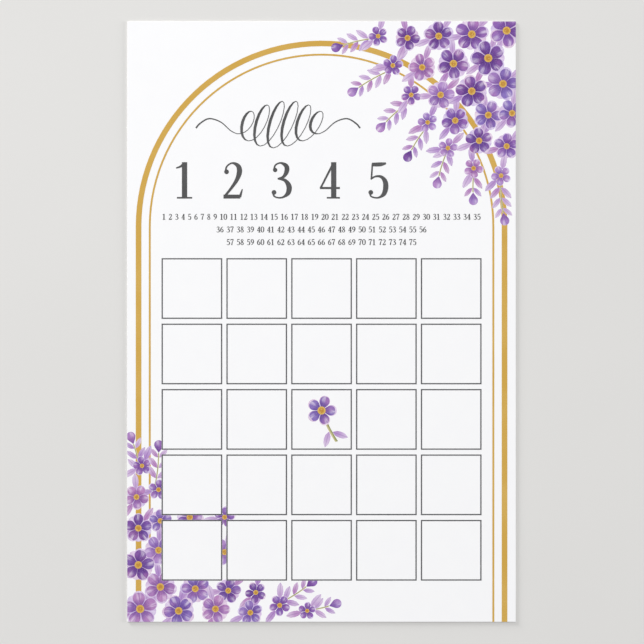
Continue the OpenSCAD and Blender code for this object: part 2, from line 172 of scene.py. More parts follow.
def join_as(pieces, name):
    select_only(pieces)
    bpy.ops.object.join()
    joined = bpy.context.object
    joined.name = name
    joined.data.name = name
    return joined


def finish_piece(piece, slot, material, node):
    """Brings a piece from millimetres to metres and puts it on the card in place of a CAD node."""
    piece.scale = (MM, MM, MM)
    settle([piece])
    piece.data.materials.clear()
    piece.data.materials.append(material)
    piece.visible_shadow = slot == "card_stock"
    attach(piece, "root")
    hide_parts(node)
    print(piece.name, len(piece.data.polygons), "faces")


# %% [markdown]
# ## Helpers for finishes
# Every finish here is built from nodes: noise for the grain, and a few mixes and sums. Small helpers keep
# the node code short. One adds a node with its sockets filled in, and the others stand for the few kinds of
# node that come up again and again.

# %% Node helpers
def from_screen(red, green, blue):
    """A colour as a paint program gives it, in the linear values that Blender wants."""
    shares = [value / 255 for value in (red, green, blue)]
    linear = [s / 12.92 if s <= 0.04045 else ((s + 0.055) / 1.055) ** 2.4 for s in shares]
    return (*linear, 1)


def add_node(tree, kind, sockets=(), **settings):
    """Adds a node with its settings, and gives each named socket a value or a link."""
    node = tree.nodes.new("ShaderNode" + kind)
    for name, value in settings.items():
        setattr(node, name, value)
    for name, value in dict(sockets).items():
        if isinstance(value, bpy.types.NodeSocket):
            tree.links.new(value, node.inputs[name])
        else:
            node.inputs[name].default_value = value
    return node


def math_node(tree, operation, *values):
    return add_node(tree, "Math", dict(enumerate(values)), operation=operation).outputs[0]


def sway(tree, value, cloud, share):
    """Moves a value up or down by a share of a noise, so that its steps don't run in even lines."""
    swing = math_node(tree, "SUBTRACT", cloud, 0.5)
    return math_node(tree, "MULTIPLY_ADD", swing, share, value)


def mix_colours(tree, share, first, second, blend="MIX"):
    """Mixes two colours. On a Mix node they are sockets 6 and 7, and the result is output 2."""
    sockets = {0: share, 6: first, 7: second}
    return add_node(tree, "Mix", sockets, data_type="RGBA", blend_type=blend).outputs[2]


def ramp(tree, value, low, high, to_low=0.0, to_high=1.0):
    """Carries a value smoothly from one range to another and holds it at the ends."""
    sockets = {"Value": value, "From Min": low, "From Max": high, "To Min": to_low, "To Max": to_high}
    return add_node(tree, "MapRange", sockets, interpolation_type="SMOOTHSTEP").outputs["Result"]


def noise(tree, vector, scale, detail=2.0, roughness=0.5):
    sockets = {"Vector": vector, "Scale": scale, "Detail": detail, "Roughness": roughness}
    return add_node(tree, "TexNoise", sockets).outputs["Fac"]


# %% Start and end of a finish
def new_finish(name):
    material = bpy.data.materials.new(name)
    material.use_nodes = True
    tree = material.node_tree
    surface = tree.nodes["Principled BSDF"]
    place = add_node(tree, "TexCoord").outputs["Object"]
    return material, tree, surface, place


def end_finish(tree, surface, colour, roughness, specular):
    tree.links.new(colour, surface.inputs["Base Color"])
    tree.links.new(roughness, surface.inputs["Roughness"])
    surface.inputs["Specular IOR Level"].default_value = specular


def add_bump(tree, surface, height, distance, strength):
    sockets = {"Height": height, "Distance": distance, "Strength": strength}
    bump = add_node(tree, "Bump", sockets)
    tree.links.new(bump.outputs["Normal"], surface.inputs["Normal"])


# %% [markdown]
# ## Card stock
# The sheet is smooth white card, cut by a guillotine. A cube at the sheet's size would have edges sharper
# than paper has, so its rim is bevelled by a few hundredths of a millimetre. The finish has a fine tooth, a
# faint cloudiness as in pulp, and on the cut edge the layers of fibre, in a greyer colour than the face
# that is partly painted shade on the sheet's sides.

# %% Card stock finish
paper_low = from_screen(247, 247, 249)
paper_high = from_screen(250, 250, 251)
paper_speck = from_screen(241, 241, 243)
# The cut edge's colours are darker than the face's: layers of fibre, partly painted shade on the sides.
cut_fibre_and_shade_low = from_screen(212, 211, 208)
cut_fibre_and_shade_high = from_screen(236, 236, 234)
fibre_layers = (1, 1, 40)


def card_stock_finish():
    material, tree, surface, place = new_finish("card_stock")
    cloud = noise(tree, place, scale=140, detail=3)
    fibre = noise(tree, place, scale=2600, detail=4, roughness=0.65)
    smooth = mix_colours(tree, cloud, paper_low, paper_high)
    face = mix_colours(tree, ramp(tree, fibre, 0.62, 0.8, 0.0, 0.25), smooth, paper_speck)

    layer_place = add_node(tree, "Mapping", {"Vector": place, "Scale": fibre_layers}).outputs["Vector"]
    # The sheet's sides get the fibre layers in a darker colour than the face, which is painted shade.
    cut = mix_colours(tree, noise(tree, layer_place, scale=700, detail=3), cut_fibre_and_shade_low, cut_fibre_and_shade_high)
    normal = add_node(tree, "NewGeometry").outputs["True Normal"]
    upright = math_node(tree, "ABSOLUTE", add_node(tree, "SeparateXYZ", {0: normal}).outputs["Z"])
    colour = mix_colours(tree, ramp(tree, upright, 0.2, 0.6, 1.0, 0.0), face, cut)
    end_finish(tree, surface, colour, ramp(tree, fibre, 0.2, 0.8, 0.62, 0.78), specular=0.3)
    add_bump(tree, surface, fibre, distance=0.00001, strength=0.3)
    return material


# %% Card stock sheet
rim_bevel = 0.05

start_piece()
bpy.ops.mesh.primitive_cube_add(size=1, location=(sheet_low + sheet_high) / 2)
card_board = bpy.context.object
card_board.name = "card_board"
card_board.scale = sheet_high - sheet_low
settle([card_board])
bpy.ops.object.mode_set(mode="EDIT")
bpy.ops.mesh.select_all(action="SELECT")
bpy.ops.mesh.bevel(offset=rim_bevel, segments=2, affect="EDGES")
bpy.ops.object.mode_set(mode="OBJECT")
finish_piece(card_board, "card_stock", card_stock_finish(), "card_sheet")

# %% [markdown]
# ## Printed inks
# The arch, the squares and the heading are flat films whose CAD shapes are already right, so they keep
# their meshes and only get a finish. Print is never quite even: the ink lies a little thinner here and
# there, and picks up the paper's tooth. Two noises, one broad and one fine, give that.

# %% Ink finish
roughness_swing = 0.08


def ink_finish(name, full, thin, roughness):
    material, tree, surface, place = new_finish(name)
    drift = noise(tree, place, scale=55, detail=2)
    tooth = noise(tree, place, scale=2200, detail=4, roughness=0.6)
    cover = sway(tree, math_node(tree, "MULTIPLY", drift, 0.55), tooth, 0.45)
    colour = mix_colours(tree, ramp(tree, cover, 0.2, 0.46), full, thin)
    smoothest = roughness - roughness_swing
    roughest = roughness + roughness_swing
    end_finish(tree, surface, colour, ramp(tree, tooth, 0.3, 0.7, smoothest, roughest), specular=0.3)
    add_bump(tree, surface, tooth, distance=0.000008, strength=0.35)
    return material


gold_ink = ink_finish("gold_ink", from_screen(206, 164, 72), from_screen(214, 176, 94), roughness=0.5)
dark_ink = ink_finish("dark_ink", from_screen(77, 77, 78), from_screen(92, 92, 93), roughness=0.6)
line_ink = ink_finish("line_ink", from_screen(80, 80, 83), from_screen(98, 98, 101), roughness=0.6)
print("inks:", gold_ink.name, dark_ink.name, line_ink.name)

# %% Inks on the CAD films
def print_with(ink, names):
    for name in names:
        film = nodes[name]
        film.data.materials.clear()
        film.data.materials.append(ink)
    print(ink.name, "on", len(names), "films")


squares = sorted(name for name in nodes if name.startswith("square_"))
heading = sorted(name for name in nodes if name.startswith(("numeral_", "tally_", "heading_")))
print_with(gold_ink, ["outer_arch", "inner_arch"])
print_with(line_ink, squares)
print_with(dark_ink, heading)

# %% [markdown]
# ## Petals
# A painted petal is one wet brush mark: round at its outer end, and drawn to a point at the middle of the
# blossom. It starts as a filled circle. Two insets put rings in it, then its lowest point is pulled down
# with proportional editing, so the rings follow, and the part just above that point is made narrower. A
# hand never makes two marks alike, so other petals have their tip pushed in or aside in the same way. The
# circle's own UV map stays on it, and tells the finish how far a spot lies from the petal's rim and from
# its base. In the CAD model the arch is cut back a little round each petal, so petals and leaves are made
# two hundredths wider here, and no white gap shows.

# %% Round sheets
template_l = 10
solid_h = 1
cover_share = 1.02


def round_sheet(points, radius, centre_y, ring_shares):
    """A filled circle with rings inset in it, each by a share of its radius."""
    start_piece()
    bpy.ops.mesh.primitive_circle_add(
        vertices=points, radius=radius, fill_type="NGON", calc_uvs=True, location=(0, centre_y, 0)
    )
    piece = bpy.context.object
    settle([piece])
    bpy.ops.object.mode_set(mode="EDIT")
    bpy.ops.mesh.select_all(action="SELECT")
    for share in ring_shares:
        bpy.ops.mesh.inset(thickness=share * radius, use_interpolate=True)
    bpy.ops.object.mode_set(mode="OBJECT")
    return piece


# %% Petals
petal_points = 18
petal_round_share = 0.55
petal_ring_shares = (0.25, 0.33)
base_y = 0.15
base_reach_share = 0.84
waist_low = 0.5
waist_high = 2
waist_share = 0.72
tip_reach_share = 0.7
tip_moves = [(0, -0.2), (0.5, -0.3), (-0.6, -0.2), (0.1, -0.9)]
pick_margin = 0.01

bulb_y = template_l / (1 + petal_round_share)
bulb_r = petal_round_share * bulb_y * cover_share


def model_petal(tip_move):
    low_y = bulb_y - bulb_r
    high_y = bulb_y + bulb_r
    petal = round_sheet(petal_points, bulb_r, bulb_y, petal_ring_shares)
    pick_points(petal, lambda co: co.y < low_y + pick_margin)
    pull_points((0, base_y - low_y), base_reach_share * bulb_r)
    pick_points(petal, lambda co: waist_low < co.y < waist_high)
    bpy.ops.transform.resize(value=(waist_share, 1, 1), center_override=(0, 0, 0))
    pick_points(petal, lambda co: co.y > high_y - pick_margin)
    pull_points(tip_move, tip_reach_share * bulb_r)
    bpy.ops.object.mode_set(mode="OBJECT")
    make_solid(petal, solid_h)
    return petal


even_petal = model_petal((0, 0))
loose_petals = [model_petal(move) for move in tip_moves]
petal_faces = len(even_petal.data.polygons)
print("petals:", 1 + len(loose_petals), "with", petal_faces, "faces each")

# %% [markdown]
# ## Blossoms
# A blossom is painted twice: first a pale even wash of five petals, and when that is dry, five darker marks
# on it that don't quite reach its rim, so that the rim stays soft. Petals are copied and turned rather than
# modelled five times, and the darker ones differ in width, length and turn. All copies are joined, so that
# a whole blossom can be placed, sized and trimmed as one thing. A seeded generator makes the choices, so
# every run gives the same blossoms.

# %% Blossoms
petal_n = 5
petal_sway = 2
petal_width_shares = (0.84, 0.97)
petal_length_shares = (0.9, 0.98)
blossom_n = 6
shaper = random.Random(5)


def even_copy(index):
    return copy_piece(even_petal, "petal_copy", turn=360 / petal_n * index)


def loose_copy(index):
    turn = 360 / petal_n * index + shaper.uniform(-petal_sway, petal_sway)
    size = (shaper.uniform(*petal_width_shares), shaper.uniform(*petal_length_shares), 1)
    return copy_piece(shaper.choice(loose_petals), "petal_copy", turn=turn, size=size)


def model_blossom(petal_copy):
    marks = [petal_copy(index) for index in range(petal_n)]
    settle(marks)
    return join_as(marks, "blossom")


even_blossom = model_blossom(even_copy)
loose_blossoms = [model_blossom(loose_copy) for _ in range(blossom_n)]
print("blossoms:", 1 + blossom_n, "with", len(even_blossom.data.polygons), "faces each")

# %% [markdown]
# ## Eyes, leaves and stems
# The other brush marks start in the same way. An eye is a small disc with two rings in it. A leaf is a disc
# made narrow, with its ends pinched to points. A stem is a narrow ribbon whose end edge is extruded step by
# step along the sprig's bend, as one would draw it by hand.

# %% Eye and leaf
eye_points = 14
eye_ring_shares = (0.3, 0.35)
leaf_points = 12
leaf_ring_shares = (0.32, 0.28)
leaf_l = 5.8
leaf_w = 2.2
leaf_end_share = 0.4
leaf_pinch_share = 0.6

eye = round_sheet(eye_points, template_l, 0, eye_ring_shares)
make_solid(eye, solid_h)

leaf = round_sheet(leaf_points, template_l / 2, template_l / 2, leaf_ring_shares)
pick_points(leaf, lambda co: True)
bpy.ops.transform.resize(value=(leaf_w / leaf_l * cover_share, 1, 1), center_override=(0, 0, 0))
pick_points(leaf, lambda co: abs(co.y - template_l / 2) > leaf_end_share * template_l)
bpy.ops.transform.resize(value=(leaf_pinch_share, 1, 1), center_override=(0, 0, 0))
bpy.ops.object.mode_set(mode="OBJECT")
make_solid(leaf, solid_h)
print("eye faces:", len(eye.data.polygons), "leaf faces:", len(leaf.data.polygons))

# %% Stem
stem_w = 0.45
stem_steps = 8
sprig_bend_share = 0.14


def model_stem(length, width):
    start_piece()
    bpy.ops.mesh.primitive_plane_add(size=width)
    stem = bpy.context.object
    pick_points(stem, lambda co: co.y > 0)
    bpy.ops.transform.translate(value=(0, -width / 2, 0))
    # Odd numbers add up to squares, so the end edge follows the sprig's parabola.
    for step in range(stem_steps):
        bend = (2 * step + 1) / stem_steps ** 2
        reach = (-sprig_bend_share * length * bend, length / stem_steps, 0)
        bpy.ops.mesh.extrude_region_move(TRANSFORM_OT_translate={"value": reach})
    bpy.ops.object.mode_set(mode="OBJECT")
    make_solid(stem, solid_h)
    return stem


# %% [markdown]
# ## Where the flowers go
# These are the same rules as in the CAD model. Each spray fans out from its corner of the card: a blossom's
# row gives how far it lies across and along from the corner as shares of the spray's reach, its size as a
# share of the largest blossom, and its turn. A sprig's row gives its start in the same way, its direction,
# and its length as a share of the reach.

# %% Rows of blossoms and sprigs
upper_blossom_shares = [
    [0.75, 0.08, 0.56, 40], [0.67, 0.24, 0.58, 12], [0.57, 0.40, 0.58, 55], [0.48, 0.55, 0.56, 30],
    [0.37, 0.69, 0.56, 8], [0.23, 0.80, 0.56, 62], [0.08, 0.84, 0.56, 44], [0.59, 0.09, 0.72, 66],
    [0.51, 0.25, 0.78, 35], [0.41, 0.40, 0.80, 5], [0.33, 0.54, 0.78, 50], [0.20, 0.65, 0.78, 22],
    [0.05, 0.68, 0.74, 15], [0.42, 0.08, 0.85, 22], [0.34, 0.23, 0.92, 58], [0.24, 0.38, 0.92, 28],
    [0.15, 0.51, 0.84, 68], [0.02, 0.50, 0.80, 47], [0.24, 0.07, 0.95, 10], [0.07, 0.34, 0.94, 3],
    [0.15, 0.20, 1.00, 36], [0.05, 0.05, 0.98, 64],
]
lower_blossom_shares = [
    [0.98, 0.06, 0.50, 14], [0.83, 0.09, 0.60, 52], [0.08, 0.85, 0.54, 30], [0.17, 0.72, 0.58, 12],
    [0.53, 0.57, 0.60, 10], [0.53, 0.38, 0.74, 38], [0.34, 0.57, 0.78, 66], [0.18, 0.55, 0.66, 20],
    [0.70, 0.16, 0.60, 44], [0.67, 0.05, 0.70, 26], [0.05, 0.68, 0.70, 58], [0.55, 0.17, 0.72, 6],
    [0.37, 0.18, 0.84, 33], [0.17, 0.39, 0.84, 50], [0.48, 0.07, 0.82, 70], [0.06, 0.51, 0.82, 18],
    [0.28, 0.06, 0.92, 42], [0.06, 0.31, 0.92, 8], [0.18, 0.19, 0.92, 62], [0.07, 0.07, 1.00, 24],
]
upper_sprig_shares = [
    [0.74, 0.09, 183, 0.20], [0.64, 0.25, 199, 0.24], [0.55, 0.42, 211, 0.20], [0.47, 0.56, 227, 0.17],
    [0.36, 0.68, 242, 0.17], [0.22, 0.78, 257, 0.15], [0.08, 0.82, 265, 0.22],
]
lower_sprig_shares = [
    [0.07, 0.80, 94, 0.17], [0.95, 0.06, 2, 0.15], [0.80, 0.09, 22, 0.20], [0.14, 0.70, 74, 0.22],
]
print("upper spray:", len(upper_blossom_shares), "blossoms,", len(upper_sprig_shares), "sprigs")
print("lower spray:", len(lower_blossom_shares), "blossoms,", len(lower_sprig_shares), "sprigs")

# %% Places in a spray
spray_reach = 66
blossom_r = 6.5
blossom_eye_r = 1.5
upper_side = 1
lower_side = -1


def spray_place(side, row):
    x = side * (card_w / 2 - spray_reach * row[0])
    y = side * (card_l / 2 - spray_reach * row[1])
    return x, y


def blossom_circle(side, row):
    """Middle and radius of a blossom."""
    return *spray_place(side, row), blossom_r * row[2]


def sprig_line(side, row):
    """Start, direction and length of a sprig."""
    *_, direction, length_share = row
    return spray_place(side, row), direction, length_share * spray_reach


def along_sprig(start, direction, length, share):
    """A point of a sprig, and the way the sprig heads there."""
    ahead = length * share
    aside = length * sprig_bend_share * share ** 2
    cos, sin = math.cos(math.radians(direction)), math.sin(math.radians(direction))
    x = start[0] + ahead * cos - aside * sin
    y = start[1] + ahead * sin + aside * cos
    return x, y, direction + math.degrees(math.atan(2 * sprig_bend_share * share))


# %% Places of leaves
blossom_leaf_share = 0.62
leaf_pitch = 3.7
leaf_spread = 42
leaf_tip_share = 0.72
print_gap = 0.05


def step_from(x, y, turn, distance):
    angle = math.radians(turn)
    return x + distance * math.cos(angle), y + distance * math.sin(angle)


def beside_stem(x, y, turn, width):
    """Where a leaf with that turn starts, beside a stem of that width."""
    gap = (width / 2 + print_gap) / math.sin(math.radians(leaf_spread))
    return step_from(x, y, turn, gap)


def sprig_leaves(side, row):
    """Place, turn and size of each leaf of a sprig, from its tip to its foot."""
    start, direction, length = sprig_line(side, row)
    pairs = int(length / leaf_pitch)
    for pair in range(pairs):
        share = 1 - (pair + 0.5) * leaf_pitch / length
        x, y, heading = along_sprig(start, direction, length, share)
        size = leaf_tip_share + (1 - leaf_tip_share) * pair / pairs
        for turn in (heading - leaf_spread, heading + leaf_spread):
            yield *beside_stem(x, y, turn, stem_w), turn, size


def blossom_leaves(side, row):
    """The two leaves that show between a blossom's petals."""
    x, y, radius = blossom_circle(side, row)
    for turn in (row[3] + 180 / petal_n, row[3] + 180):
        yield *step_from(x, y, turn, radius * blossom_leaf_share), turn, 1


def leaf_circle(spot):
    x, y, turn, size = spot
    reach = leaf_l * size / 2
    return *step_from(x, y, turn, reach), reach


# %% [markdown]
# ## Layers
# Paint is laid in layers: faint ghosts of petals first, then stems, leaves, buds and blossoms. Two faces in
# one plane would flicker, so marks that may touch never share a level. Within a layer each mark lies half a
# thousandth of a millimetre above the earlier ones that it may touch, and all of them stand on the paper. A
# circle round each mark is enough to tell which ones may touch. Stems keep clear of each other, and so do
# buds, so each of those layers has a single level.

# %% Levels of the layers
mark_step = 0.0005
most_levels = 8
blossom_marks = 3
touch_share = 1.05

layer_h = most_levels * mark_step
blossom_step = blossom_marks * mark_step
ghost_z = ink_z + mark_step
stem_z = ghost_z + layer_h
leaf_z = stem_z + mark_step
blossom_leaf_z = leaf_z + layer_h
bud_z = blossom_leaf_z + layer_h
blossom_z = bud_z + mark_step


def pile_up(circles):
    """A level for each mark in turn, one above the highest of the earlier marks that it may touch."""
    levels = []
    for x, y, reach in circles:
        touched = [
            level for level, other in zip(levels, circles)
            if math.dist((x, y), other[:2]) < touch_share * (reach + other[2])
        ]
        levels.append(max(touched, default=-1) + 1)
    print("marks:", len(levels), "on levels 0 to", max(levels))
    return levels


print(f"ghosts from {ghost_z:.4f} mm up, blossoms from {blossom_z:.4f} mm up")

# %% [markdown]
# ## Trimming
# Where a flower runs over the edge of the card, or behind the squares, it is trimmed with a Boolean against
# a window: the card's outline, and for the lower spray less the squares that it reaches.

# %% Windows for trimming
window_h = 4


def add_block(low, high, name):
    start_piece()
    centre = [(a + b) / 2 for a, b in zip(low, high)]
    bpy.ops.mesh.primitive_cube_add(size=1, location=(centre[0], centre[1], 0))
    block = bpy.context.object
    block.name = name
    block.scale = (high[0] - low[0], high[1] - low[1], window_h)
    settle([block])
    return block


def cut_with(piece, tool, operation):
    cut = piece.modifiers.new("cut", "BOOLEAN")
    cut.operation = operation
    cut.solver = "EXACT"
    cut.object = tool
    bpy.context.view_layer.objects.active = piece
    bpy.ops.object.modifier_apply(modifier="cut")


def square_block(name):
    low, high = box_mm(name)
    block_low = (low.x - print_gap, low.y - print_gap)
    block_high = (high.x + print_gap, high.y + print_gap)
    return add_block(block_low, block_high, "square_block")


low_squares = [f"square_row{row}_col{col}" for row in (3, 4, 5) for col in (1, 2, 3)]
upper_window = add_block(sheet_low, sheet_high, "upper_window")
lower_window = add_block(sheet_low, sheet_high, "lower_window")
square_blocks = join_as([square_block(name) for name in low_squares], "square_blocks")
cut_with(lower_window, square_blocks, "DIFFERENCE")
bpy.data.objects.remove(square_blocks)
windows = {upper_side: upper_window, lower_side: lower_window}
print("lower window faces:", len(lower_window.data.polygons))

# %% [markdown]
# ## Tints
# Each painted flower has one main colour, and no two of its petals have it quite alike. So a flower takes a
# tint from a small palette, each petal leans from it a little towards another one, and each has a number of
# its own. Both are kept on the petal's faces, where the finish reads them. The choice is made by a seeded
# generator, so every run paints the same flowers.

# %% Palette
violet = from_screen(140, 94, 174)
deep_violet = from_screen(114, 68, 152)
lilac = from_screen(178, 140, 202)
rose_lilac = from_screen(184, 134, 190)
blue_violet = from_screen(136, 112, 186)
pale_lilac = from_screen(198, 168, 212)
corner_tints = [violet, deep_violet, rose_lilac, violet, blue_violet]
middle_tints = [violet, lilac, deep_violet, rose_lilac, blue_violet]
outer_tints = [lilac, violet, rose_lilac, violet]
free_tints = [violet, blue_violet, deep_violet]
leaf_tints = [lilac, pale_lilac, rose_lilac, pale_lilac]
bud_tints = [violet, deep_violet, lilac]
wash_tints = [from_screen(214, 192, 226), from_screen(222, 198, 222), from_screen(206, 190, 228)]
print("tints:", len({*corner_tints, *middle_tints, *leaf_tints, *wash_tints}))

# %% Tints on faces
tint_lean = 0.45
chooser = random.Random(20)


def lean_tint(main, tints):
    other = chooser.choice(tints)
    share = tint_lean * chooser.random()
    return [a + share * (b - a) for a, b in zip(main, other)]


def tint_piece(piece, tints, faces_each):
    """Gives a piece one main tint, and every run of faces_each faces its own lean and number."""
    faces = len(piece.data.polygons)
    runs = math.ceil(faces / faces_each)
    main = chooser.choice(tints)
    run_tints = [lean_tint(main, tints) for _ in range(runs)]
    run_numbers = [chooser.random() for _ in range(runs)]
    piece.data.attributes.new("tint", "FLOAT_COLOR", "FACE")
    piece.data.attributes.new("number", "FLOAT", "FACE")
    face_tints = piece.data.attributes["tint"].data
    face_numbers = piece.data.attributes["number"].data
    for face in range(faces):
        face_tints[face].color = run_tints[face // faces_each]
        face_numbers[face].value = run_numbers[face // faces_each]


# The walls that a cut leaves on a mark take their tint from the window.
for window in windows.values():
    tint_piece(window, [violet], len(window.data.polygons))

# %% [markdown]
# ## Petal finish
# A petal's paint pools at its base and a little along its rim, where it dries darker, and thins to a pale
# light on one side of the middle. Streaks fan out from the base as the brush lifts, and where two wet
# colours meet, one runs into the other. The first three are worked out from the petal's UV disc: the
# distance from its middle gives the rim, and its height the way from base to tip. The last is a broad
# noise.

# %% What a brush mark carries
def disc_parts(tree):
    """Across, along and distance from the middle, on the disc that a brush mark started from."""
    disc = add_node(tree, "UVMap", uv_map="UVMap").outputs["UV"]
    parts = add_node(tree, "SeparateXYZ", {0: disc}).outputs
    sockets = {0: disc, 1: (0.5, 0.5, 0)}
    middle = add_node(tree, "VectorMath", sockets, operation="DISTANCE").outputs["Value"]
    across = math_node(tree, "SUBTRACT", parts["X"], 0.5)
    return across, parts["Y"], math_node(tree, "MULTIPLY", middle, 2.0)


def own_tint(tree):
    return add_node(tree, "Attribute", attribute_name="tint").outputs["Color"]


def own_number(tree):
    return add_node(tree, "Attribute", attribute_name="number").outputs["Fac"]


def dry_paint(tree, surface, place, colour, pale, smoothest):
    """Ends the finish of a paint: the paper's grain shows in its colour, its gloss and its relief."""
    grain = noise(tree, place, scale=2400, detail=3, roughness=0.6)
    colour = mix_colours(tree, ramp(tree, grain, 0.5, 0.8, 0.0, 0.3), colour, pale)
    end_finish(tree, surface, colour, ramp(tree, grain, 0.3, 0.7, smoothest, 0.7), specular=0.25)
    add_bump(tree, surface, grain, distance=0.000008, strength=0.3)


# %% Petal and bud finish
wet_blue = from_screen(132, 108, 190)
wet_rose = from_screen(192, 128, 186)
petal_light = from_screen(242, 232, 246)
petal_shade = from_screen(186, 162, 206)


def fan_of_streaks(tree, across, along, number):
    """Streaks that spread from a petal's base, other ones on each petal."""
    fan = math_node(tree, "DIVIDE", across, math_node(tree, "ADD", along, 0.25))
    fan_place = math_node(tree, "MULTIPLY_ADD", number, 40.0, math_node(tree, "MULTIPLY", fan, 9.0))
    streak_place = add_node(tree, "CombineXYZ", {0: fan_place, 1: along, 2: number}).outputs[0]
    return noise(tree, streak_place, scale=1.0, detail=3)


def run_wet(tree, place, tint, most):
    """Lets a bluer and a rosier colour run into a tint, each at most by that share."""
    wet = noise(tree, place, scale=170, detail=2)
    tint = mix_colours(tree, ramp(tree, wet, 0.5, 0.7, 0.0, most), tint, wet_blue)
    return mix_colours(tree, ramp(tree, wet, 0.3, 0.5, most, 0.0), tint, wet_rose)


def wash_finish(name, depth):
    """Paint of a petal, whose darker parts are as deep as depth says."""
    material, tree, surface, place = new_finish(name)
    across, along, rim = disc_parts(tree)
    number = own_number(tree)
    streak = fan_of_streaks(tree, across, along, number)
    cloud = noise(tree, place, scale=330, detail=3)
    tint = run_wet(tree, place, own_tint(tree), 0.4 * depth)
    pale = mix_colours(tree, 0.7, tint, petal_light)
    dark = mix_colours(tree, 1.0, tint, petal_shade, blend="MULTIPLY")

    lit_side = sway(tree, sway(tree, across, number, 0.45), cloud, 0.2)
    glow = ramp(tree, math_node(tree, "ABSOLUTE", lit_side), 0.0, 0.3, 1.0, 0.0)
    glow = math_node(tree, "MULTIPLY", glow, ramp(tree, along, 0.25, 0.65))
    light = math_node(tree, "MULTIPLY", glow, ramp(tree, streak, 0.35, 0.65, 0.1, 0.85))
    vein = ramp(tree, streak, 0.3, 0.5, 0.25 * depth, 0.0)
    pooled = ramp(tree, sway(tree, rim, cloud, 0.35), 0.8, 1.05, 0.0, 0.35 * depth)
    base = ramp(tree, sway(tree, along, streak, 0.4), 0.1, 0.55, 0.8 * depth, 0.0)

    colour = mix_colours(tree, light, tint, pale)
    for share in (vein, pooled, base):
        colour = mix_colours(tree, share, colour, dark)
    dry_paint(tree, surface, place, colour, pale, smoothest=0.56)
    return material


petal_wash = wash_finish("petal_wash", depth=1)
bud_wash = wash_finish("bud_wash", depth=1)
pale_wash = wash_finish("pale_wash", depth=0.3)
print("petal finishes:", petal_wash.name, bud_wash.name, pale_wash.name)

# %% [markdown]
# ## Leaf, eye and stem finishes
# A leaf has a darker rib and rim and pales towards its tip. An eye is a ring of warm dots round a browner
# middle, which cells of a Voronoi texture give. A stem is one stroke of a flat brush, greener on one side,
# and its ribbon's UV map tells the sides apart.

# %% Leaf finish
def leaf_finish():
    material, tree, surface, place = new_finish("leaf_wash")
    across, along, rim = disc_parts(tree)
    tint = own_tint(tree)
    cloud = noise(tree, place, scale=380, detail=3)
    pale = mix_colours(tree, 0.45, tint, from_screen(244, 236, 247))
    dark = mix_colours(tree, 1.0, tint, from_screen(196, 176, 214), blend="MULTIPLY")
    tip = ramp(tree, sway(tree, along, cloud, 0.5), 0.25, 0.95)
    rib = ramp(tree, math_node(tree, "ABSOLUTE", across), 0.02, 0.09, 0.55, 0.0)
    pooled = ramp(tree, sway(tree, rim, cloud, 0.3), 0.82, 1.04, 0.0, 0.4)
    colour = mix_colours(tree, tip, tint, pale)
    for share in (rib, pooled):
        colour = mix_colours(tree, share, colour, dark)
    dry_paint(tree, surface, place, colour, pale, smoothest=0.58)
    return material


leaf_wash = leaf_finish()
print("leaf finish:", leaf_wash.name)

# %% Eye and stem finishes
eye_middle = from_screen(190, 138, 58)
eye_ring = from_screen(222, 182, 88)
eye_dot = from_screen(240, 212, 140)
eye_rim = from_screen(168, 116, 60)
stem_green = from_screen(146, 150, 92)
stem_straw = from_screen(206, 196, 150)
stem_pale = from_screen(224, 214, 176)


def eye_finish():
    material, tree, surface, place = new_finish("eye_dots")
    rim = disc_parts(tree)[2]
    cells = add_node(tree, "TexVoronoi", {"Vector": place, "Scale": 1900.0}).outputs["Distance"]
    colour = mix_colours(tree, ramp(tree, rim, 0.35, 0.95), eye_middle, eye_ring)
    colour = mix_colours(tree, ramp(tree, cells, 0.1, 0.4, 0.75, 0.0), colour, eye_dot)
    colour = mix_colours(tree, ramp(tree, rim, 0.86, 1.0, 0.0, 0.55), colour, eye_rim)
    end_finish(tree, surface, colour, ramp(tree, cells, 0.1, 0.5, 0.5, 0.68), specular=0.25)
    add_bump(tree, surface, cells, distance=0.000012, strength=0.3)
    return material


def stem_finish():
    material, tree, surface, place = new_finish("stem_stroke")
    ribbon = add_node(tree, "UVMap", uv_map="UVMap").outputs["UV"]
    across = add_node(tree, "SeparateXYZ", {0: ribbon}).outputs["X"]
    cloud = noise(tree, place, scale=420, detail=3)
    shade = ramp(tree, sway(tree, across, cloud, 0.7), 0.2, 0.9)
    colour = mix_colours(tree, shade, stem_green, stem_straw)
    dry_paint(tree, surface, place, colour, stem_pale, smoothest=0.58)
    return material


eye_dots = eye_finish()
stem_stroke = stem_finish()
print("eye and stem finishes:", eye_dots.name, stem_stroke.name)

# %% [markdown]
# ## Painting a spray
# The brush marks of one spray are copied to their places, given their tints, trimmed and joined into a few
# pieces: stems, leaves of the sprigs, buds, leaves behind the blossoms, faint ghosts of petals under the
# larger blossoms, three groups of blossoms with their first washes, and eyes.

# %% Marks on the paper
bud_l = 4.6


def stand(z):
    """Height of a mark that stands on the paper and reaches up to z."""
    return (z - paper_z) / solid_h


def place_mark(template, place, turn, reach, z):
    """Copies a template so that it reaches that far from its place, and from the paper up to z."""
    scale = reach / template_l
    return copy_piece(template, "mark", (*place, paper_z), turn - 90, (scale, scale, stand(z)))


def place_leaves(spots, first_z):
    levels = pile_up([leaf_circle(spot) for spot in spots])
    leaves = []
    for (x, y, turn, size), level in zip(spots, levels):
        mark = place_mark(leaf, (x, y), turn, leaf_l * size, first_z + level * mark_step)
        tint_piece(mark, leaf_tints, len(mark.data.polygons))
        leaves.append(mark)
    return leaves


def place_bud(start, direction, length):
    x, y, heading = along_sprig(start, direction, length, 1)
    bud = place_mark(even_petal, (x, y), heading, bud_l, bud_z)
    tint_piece(bud, bud_tints, len(bud.data.polygons))
    return bud


